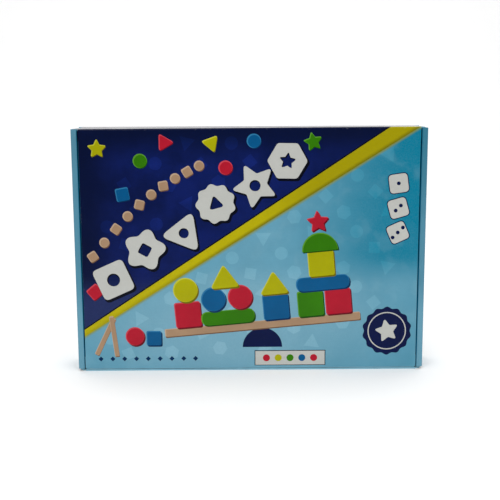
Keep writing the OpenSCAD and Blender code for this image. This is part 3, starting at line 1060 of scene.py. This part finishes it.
def make_side(side, name):
    """A side wall: outer panel, rolled front edge and inner panel in one piece, and the crease behind it."""
    profile = ((HALF_W, BACK_LINE), (HALF_W, FRONT), (side_low.x, FRONT), (side_low.x, base_low.y))
    corners = [Vector((side * x, y, 0)) for x, y in profile]
    place, middle, stops = folded(corners, BOARD, UP, side)
    low, high = side_low.z, side_high.z
    inner_low, inner_high = corner_low.z + BEND_R, TOP - BEND_R
    roll_start = middle - (base_low.y - FRONT)
    step = roll_start + 2 * BOARD
    outline = [
        (-middle, low), (step, low), (step, inner_low), (middle, inner_low),
        (middle, inner_high), (step, inner_high), (step, high), (-middle, high),
    ]
    lines = [((u, low), (u, high)) for u in stops + [roll_start + ROLL_SWELL_RUN]]
    # Painted shade: from half way round the second turn, where the roll's inside faces the gap beside the
    # lid, the print is a deeper blue
    turned_in = stops[FOLD_STEPS + 1 + FOLD_STEPS // 2]
    inside = [("deep", beyond(turned_in))]
    place = sprung(place, side)
    piece = board_piece(
        "side_roll_" + name, outline, place, "side", inside, lines, WALL_GRID, inked=(high,)
    )
    give(piece, "case", "print_blue", "side_wall_" + name)
    pivot = Vector((side * (HALF_W - NOSE), BACK - NOSE, 0))
    fold = crease("back_crease_" + name, pivot, -BACKWARD, RIGHT * -side, UP, (low, high), "field")
    give(fold, "case", "print_blue")


def make_wall(level, up_sign, wall, slot_name, crease_ink):
    """The top or bottom wall with its two corner flaps, and the crease behind it."""
    is_top = level == "top"
    face_z = TOP if is_top else 0.0
    tip_z = face_z - up_sign * corner_high.z
    flap_x, flap_back = HALF_W - BOARD, corner_high.y - FLAP_CLEAR
    profile = ((-flap_x, tip_z), (-flap_x, face_z), (flap_x, face_z), (flap_x, tip_z))
    corners = [Vector((x, 0, z)) for x, z in profile]
    place, middle, stops = folded(corners, BEND_R, BACKWARD, -up_sign)
    front_y, regions, sheet, inked = foot_low.y, (), None, (foot_low.y, CORNER_CUT_Y)
    if is_top:
        place = sagged(place, TOP - FOLD_R - REACH, TOP - FOLD_R)
        rise = TOP - FRONT - 2 * FOLD_R + FOLD_R * math.pi / 2
        regions = printed(stripes(), lambda x, z: (x, z - rise), "top_")
        front_y, sheet, inked = lid_fold.y + REACH, lambda u, v: (u, v + rise), (CORNER_CUT_Y,)
    bend_start = flap_x - BEND_R
    outline = both_halves([
        (LID_HALF, front_y), (LID_HALF, CORNER_CUT_Y), (middle - FLAP_CUT, CORNER_CUT_Y),
        (middle, CORNER_CUT_Y + FLAP_CUT), (middle, flap_back - FLAP_CUT), (middle - FLAP_CUT, flap_back),
        (bend_start, flap_back), (bend_start, BACK_LINE),
    ])
    lines = [((u, CORNER_CUT_Y), (u, flap_back)) for u in stops]
    piece = board_piece(
        level + "_board", outline, place, "field", regions, lines, WALL_GRID, sheet=sheet, inked=inked
    )
    give(piece, "case", slot_name, wall, f"corner_flap_{level}_left", f"corner_flap_{level}_right")
    pivot = Vector((0, BACK - NOSE, face_z - up_sign * NOSE))
    fold = crease(
        "back_crease_" + level, pivot, -BACKWARD, UP * -up_sign, RIGHT, (-FLANGE, FLANGE), crease_ink
    )
    give(fold, "case", slot_name)


def back_print():
    """The back: petals on navy, a yellow line, four outlined fields of one to four blocks, a blank label."""
    band, far = 196, FAR / MM
    found = [
        ("back_navy", moved(bar(2 * far, 2 * far), 0, band + far)),
        ("back_yellow", moved(bar(2 * far, 4), 0, band)),
    ]
    colours = ("red", "sun", "green", "blue")
    shapes = (disc(11), polygon(3, 14, 2), bar(20, 20, 2), petals(5, 13, 0.14))
    for i in range(4):
        x = 78 * i - 117
        found += stack(x, 118, ("white", bar(66, 78, 6)), ("tint", bar(63, 75, 5)))
        for k in range(i + 1):
            pick = (i + k) % 4
            found += thick(colours[pick], shapes[pick], x + 4 * (k % 2), 92 + 17 * k, 14 * k)
        found.append(("white", moved(petals(6, 9, 0.1), x, 220)))
    return found + [("white", moved(bar(110, 26, 3), -90, 38))]


def make_back():
    notch_x, notch_z = HALF_W - NOSE - REACH, NOSE + REACH
    outline = both_halves([
        (FLANGE, notch_z), (FLANGE, 0), (HALF_W, 0), (HALF_W, side_low.z), (notch_x, side_low.z),
        (notch_x, side_high.z), (HALF_W, side_high.z), (HALF_W, TOP), (FLANGE, TOP), (FLANGE, TOP - notch_z),
    ])
    limits = (-notch_x, notch_x, notch_z, TOP - notch_z)
    place = flat_place(Vector((0, BACK, 0)), RIGHT, UP, -BACKWARD, BACK_BOW, limits)
    regions = printed(back_print())
    piece = board_piece("back_board", outline, place, "field", regions, inked=(TOP - INKED_RIM,))
    give(piece, "case", "print_blue", "base_panel")


# Wooden pieces and insert
def eased_copy(name, node, ease, material, turn_limit=50, steps=3):
    """A copy of a CAD node with its arrises rounded over, and those edges marked for wear."""
    work = bmesh.new()
    work.from_mesh(nodes[node].data)
    bmesh.ops.remove_doubles(work, verts=work.verts, dist=SAME)
    bmesh.ops.dissolve_limit(work, angle_limit=math.radians(0.8), verts=work.verts, edges=work.edges)
    limit = math.radians(turn_limit)
    sharp = [e for e in work.edges if len(e.link_faces) == 2 and e.calc_face_angle() > limit and e.is_convex]
    made = bmesh.ops.bevel(
        work, geom=sharp, offset=ease, offset_type="OFFSET", segments=steps, profile=0.5, affect="EDGES",
        clamp_overlap=True,
    )
    eased = set(made["faces"])
    soft = {v for face in eased for v in face.verts if all(f in eased for f in v.link_faces)}
    for face in work.faces:
        face.smooth = True
        face.material_index = 0
    marks = [1.0 if v in soft else 0.0 for v in work.verts]
    mesh = bpy.data.meshes.new(name)
    work.to_mesh(mesh)
    work.free()
    mesh.materials.clear()
    mesh.materials.append(material)
    mesh.attributes.new("edge", "FLOAT", "POINT").data.foreach_set("value", marks)
    mesh.set_sharp_from_angle(angle=math.radians(45))
    piece = show(name, mesh)
    piece.modifiers.new("even_faces", "WEIGHTED_NORMAL").keep_sharp = True
    return piece


def make_insert():
    tray_kraft = kraft("tray_kraft", (170, 144, 110), 0.3)
    tray = eased_copy("tray_board", "insert_tray", 0.6 * MM, tray_kraft, turn_limit=60, steps=2)
    give(tray, "case", "kraft_board", "insert_tray")


def make_wood():
    paints = {key: painted_wood("paint_" + key, colour) for key, colour in PAINTS.items()}
    bare = bare_wood("wood_bare")
    for name in nodes:
        if name.startswith("acrobat_"):
            colour = name.split("_")[1]
            give(eased_copy(name + "_wood", name, 1.3 * MM, paints[colour]), name, "paint_" + colour, name)
        elif name.startswith("stick_"):
            stick = eased_copy(name + "_wood", name, 0.5 * MM, bare, turn_limit=40, steps=2)
            give(stick, name, "bare_wood", name)


# Leaflet: thickness of a leaf, how far its middle sways in, and the steps round its fold
LEAF_T, LEAF_SWAY, LEAF_FOLD_STEPS = 0.5 * MM, 0.12 * MM, 8


def leaflet_print(width, height, centre):
    """The front leaf: a heading with three shapes, three panels with bars, and rows of plain lines."""
    found = [
        ("leaf_blue", moved(bar(width - 8, 20), centre, height - 15)),
        ("leaf_navy", moved(bar(width - 8, 1.2), centre, height - 27)),
    ]
    for i, shape in enumerate((disc(5), bar(9, 9, 1), polygon(3, 6))):
        found.append(("leaf", moved(shape, centre + 16 * (i - 1), height - 15)))
    for row in range(7):
        length = width - 12 - 9 * (row % 3)
        found.append(("leaf_navy", moved(bar(length, 0.9), centre - (width - length) / 2 + 6, 10 + 5 * row)))
    for i in range(3):
        x = centre + 21 * (i - 1)
        found.append(("leaf_blue", moved(bar(17, 20, 2), x, 58)))
        found += [("leaf_navy", moved(bar(7, 4), x, 52 + 5 * k)) for k in range(i + 1)]
    return found


def make_leaflet():
    """Two leaves round a soft fold, each a little hollow in the middle."""
    low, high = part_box("rules_leaflet")
    fold_r = (high.y - low.y) / 2
    arc = math.pi * fold_r
    width, height = high.x - low.x - fold_r, high.z - low.z
    half = arc / 2 + width
    fold_line = Vector((low.x + fold_r, low.y + fold_r, low.z))

    def place(u, v):
        run = abs(u) - arc / 2
        spine = fold_line + UP * v
        if run > 0:
            outward = BACKWARD if u > 0 else -BACKWARD
            sway = LEAF_SWAY * math.sin(math.pi * run / width) ** 2
            outer = spine + RIGHT * run + outward * (fold_r - sway)
            return outer, outer - outward * LEAF_T, 0.0
        way = Vector((-math.cos(u / fold_r), math.sin(u / fold_r), 0))
        return spine + way * fold_r, spine + way * (fold_r - LEAF_T), 1.0

    outline = [(-half, 0), (half, 0), (half, height), (-half, height)]
    stops = [arc * (k / LEAF_FOLD_STEPS - 0.5) for k in range(LEAF_FOLD_STEPS + 1)]
    lines = [((u, 0), (u, height)) for u in stops]
    regions = printed(leaflet_print(width / MM, height / MM, (width / 2 - half) / MM))
    piece = board_piece("leaflet_paper", outline, place, "leaf", regions, lines, WALL_GRID, INKS["leaf"])
    give(piece, "leaflet", "leaflet_paper", "rules_leaflet")


# Stage and light
def make_stage():
    """A white sweep: flat floor, then a curve up into the backdrop. In front it fades to the room's grey."""
    half_width, floor_back, curve_r, top, steps = 3.0, 0.9, 0.7, 2.4, 24
    fade_start, fade_end = -0.42, -0.62
    white, grey = (0.96, 0.96, 0.96, 1), (0.42, 0.42, 0.42, 1)
    profile = [(y, 0.0) for y in (-2.1, -0.5, 0.2, floor_back)]
    for i in range(1, steps + 1):
        a = math.pi / 2 * i / steps
        profile.append((floor_back + curve_r * math.sin(a), curve_r * (1 - math.cos(a))))
    profile.append((floor_back + curve_r, top))
    points = [(x, y, z) for y, z in profile for x in (-half_width, half_width)]
    faces = [[2 * i, 2 * i + 1, 2 * i + 3, 2 * i + 2] for i in range(len(profile) - 1)]
    mesh = bpy.data.meshes.new("sweep")
    mesh.from_pydata(points, [], faces)
    mesh.polygons.foreach_set("use_smooth", [True] * len(faces))
    shader = Shader("sweep_white")
    forward = shader.add("SeparateXYZ", {0: shader.place()}, out=1)
    colour = shader.mix(shader.range(forward, fade_start, fade_end), white, grey)
    mesh.materials.append(shader.finish(colour, None, roughness=0.9, gloss=0.1))
    show("sweep", mesh)


def area_light(name, spot, aim, size, watts):
    light = bpy.data.lights.new(name, "AREA")
    light.shape = "RECTANGLE"
    light.size, light.size_y = size
    light.energy = watts
    lamp = show(name, light)
    lamp.location = spot
    lamp.rotation_euler = (Vector(aim) - Vector(spot)).to_track_quat("-Z", "Y").to_euler()


def make_light():
    area_light("key", spot=(-0.7, -1.7, 1.7), aim=(0, 0, 0.1), size=(1.4, 1.0), watts=20)
    area_light("fill", spot=(1.1, -1.6, 1.2), aim=(0, 0, 0.1), size=(1.2, 1.2), watts=12)
    area_light("overhead", spot=(0, 0.3, 2.1), aim=(0, 0.1, 0), size=(2.4, 1.8), watts=26)
    world = bpy.data.worlds.new("studio")
    bpy.context.scene.world = world
    world.use_nodes = True
    background = world.node_tree.nodes["Background"]
    background.inputs["Color"].default_value = (1, 1, 1, 1)
    background.inputs["Strength"].default_value = 0.40


make_camera()
make_lid()
for side, name in SIDES:
    make_dust_crease(side, name)
make_tuck_crease()
make_tuck_flap()
for side, name in SIDES:
    make_dust_flap(side, name)
for side, name in SIDES:
    make_side(side, name)
make_wall("top", 1, "hinge_wall", "print_navy", "back_navy")
make_wall("bottom", -1, "tuck_wall", "print_blue", "field")
make_back()
make_insert()
make_wood()
make_leaflet()
make_stage()
make_light()
bpy.context.scene.view_settings.view_transform = "Standard"
